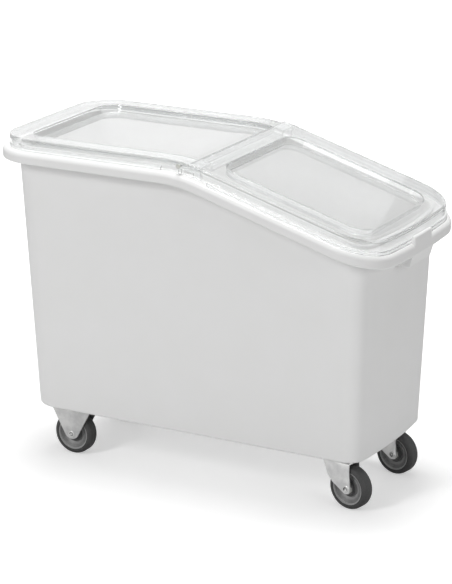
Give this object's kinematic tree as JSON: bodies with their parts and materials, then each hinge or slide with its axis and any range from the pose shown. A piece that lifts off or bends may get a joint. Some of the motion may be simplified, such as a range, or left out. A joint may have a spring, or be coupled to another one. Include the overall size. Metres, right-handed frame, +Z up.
{
  "type": "mobile ingredient bin",
  "caption": "Deep wheeled storage bin with a rolled rim, sloping low front and a two-piece clear lid whose front flap opens, standing on rigid rear and swivel front casters.",
  "frame": {"origin": "on the ground under the middle of the bin's length and width", "axes": "+X from the tall rear end to the low front end, +Y across the bin, +Z up"},
  "size_m": [0.75, 0.363, 0.5885],
  "materials": {
    "tub_plastic": "satin moulded polyethylene",
    "clear_lid": "clear polycarbonate",
    "peg_plastic": "moulded nylon",
    "fork_steel": "bright zinc plate",
    "zinc_steel": "zinc plate",
    "ball_steel": "polished",
    "brass_insert": "turned",
    "bush_plastic": "moulded nylon",
    "core_plastic": "moulded polypropylene",
    "tyre_rubber": "moulded grey rubber"
  },
  "bodies": {
    "base": {"tub": "tub_plastic", "tub_inserts": "brass_insert", "caster_screws": "zinc_steel", "rear_axles": "zinc_steel", "rear_right_fork": "fork_steel", "front_right_top_plate": "fork_steel", "front_right_balls": "ball_steel", "front_right_kingpin": "zinc_steel", "rear_left_fork": "fork_steel", "front_left_top_plate": "fork_steel", "front_left_balls": "ball_steel", "front_left_kingpin": "zinc_steel"},
    "rear_cover": {"rear_lid": "clear_lid", "hinge_pegs": "peg_plastic"},
    "front_cover": {"front_lid": "clear_lid"},
    "front_right_swivel": {"front_right_fork": "fork_steel", "front_right_axle": "zinc_steel"},
    "front_right_wheel": {"front_right_bushes": "bush_plastic", "front_right_wheel_core": "core_plastic", "front_right_tyre": "tyre_rubber"},
    "rear_right_wheel": {"rear_right_bushes": "bush_plastic", "rear_right_wheel_core": "core_plastic", "rear_right_tyre": "tyre_rubber"},
    "front_left_swivel": {"front_left_fork": "fork_steel", "front_left_axle": "zinc_steel"},
    "front_left_wheel": {"front_left_bushes": "bush_plastic", "front_left_wheel_core": "core_plastic", "front_left_tyre": "tyre_rubber"},
    "rear_left_wheel": {"rear_left_bushes": "bush_plastic", "rear_left_wheel_core": "core_plastic", "rear_left_tyre": "tyre_rubber"}
  },
  "joints": [
    {"name": "cover_lift", "type": "slide", "parent": "base", "child": "rear_cover", "axis": [0, 0, 1], "range_m": [0, 0.25]},
    {"name": "front_lid_hinge", "type": "hinge", "parent": "rear_cover", "child": "front_cover", "pos_m": [0.004, 0, 0.57891], "axis": [0, -1, 0], "range_deg": [0, 125]},
    {"name": "front_right_swivel_turn", "type": "hinge", "parent": "base", "child": "front_right_swivel", "pos_m": [0.2645, -0.093, 0.084], "axis": [0, 0, 1], "continuous": true},
    {"name": "front_right_wheel_spin", "type": "hinge", "parent": "front_right_swivel", "child": "front_right_wheel", "pos_m": [0.29456, -0.09814, 0.0381], "axis": [0.1685, 0.9857, 0], "continuous": true},
    {"name": "rear_right_wheel_spin", "type": "hinge", "parent": "base", "child": "rear_right_wheel", "pos_m": [-0.255, -0.093, 0.0381], "axis": [0, 1, 0], "continuous": true},
    {"name": "front_left_swivel_turn", "type": "hinge", "parent": "base", "child": "front_left_swivel", "pos_m": [0.2645, 0.093, 0.084], "axis": [0, 0, 1], "continuous": true},
    {"name": "front_left_wheel_spin", "type": "hinge", "parent": "front_left_swivel", "child": "front_left_wheel", "pos_m": [0.29456, 0.08786, 0.0381], "axis": [0.1685, 0.9857, 0], "continuous": true},
    {"name": "rear_left_wheel_spin", "type": "hinge", "parent": "base", "child": "rear_left_wheel", "pos_m": [-0.255, 0.093, 0.0381], "axis": [0, 1, 0], "continuous": true}
  ]
}
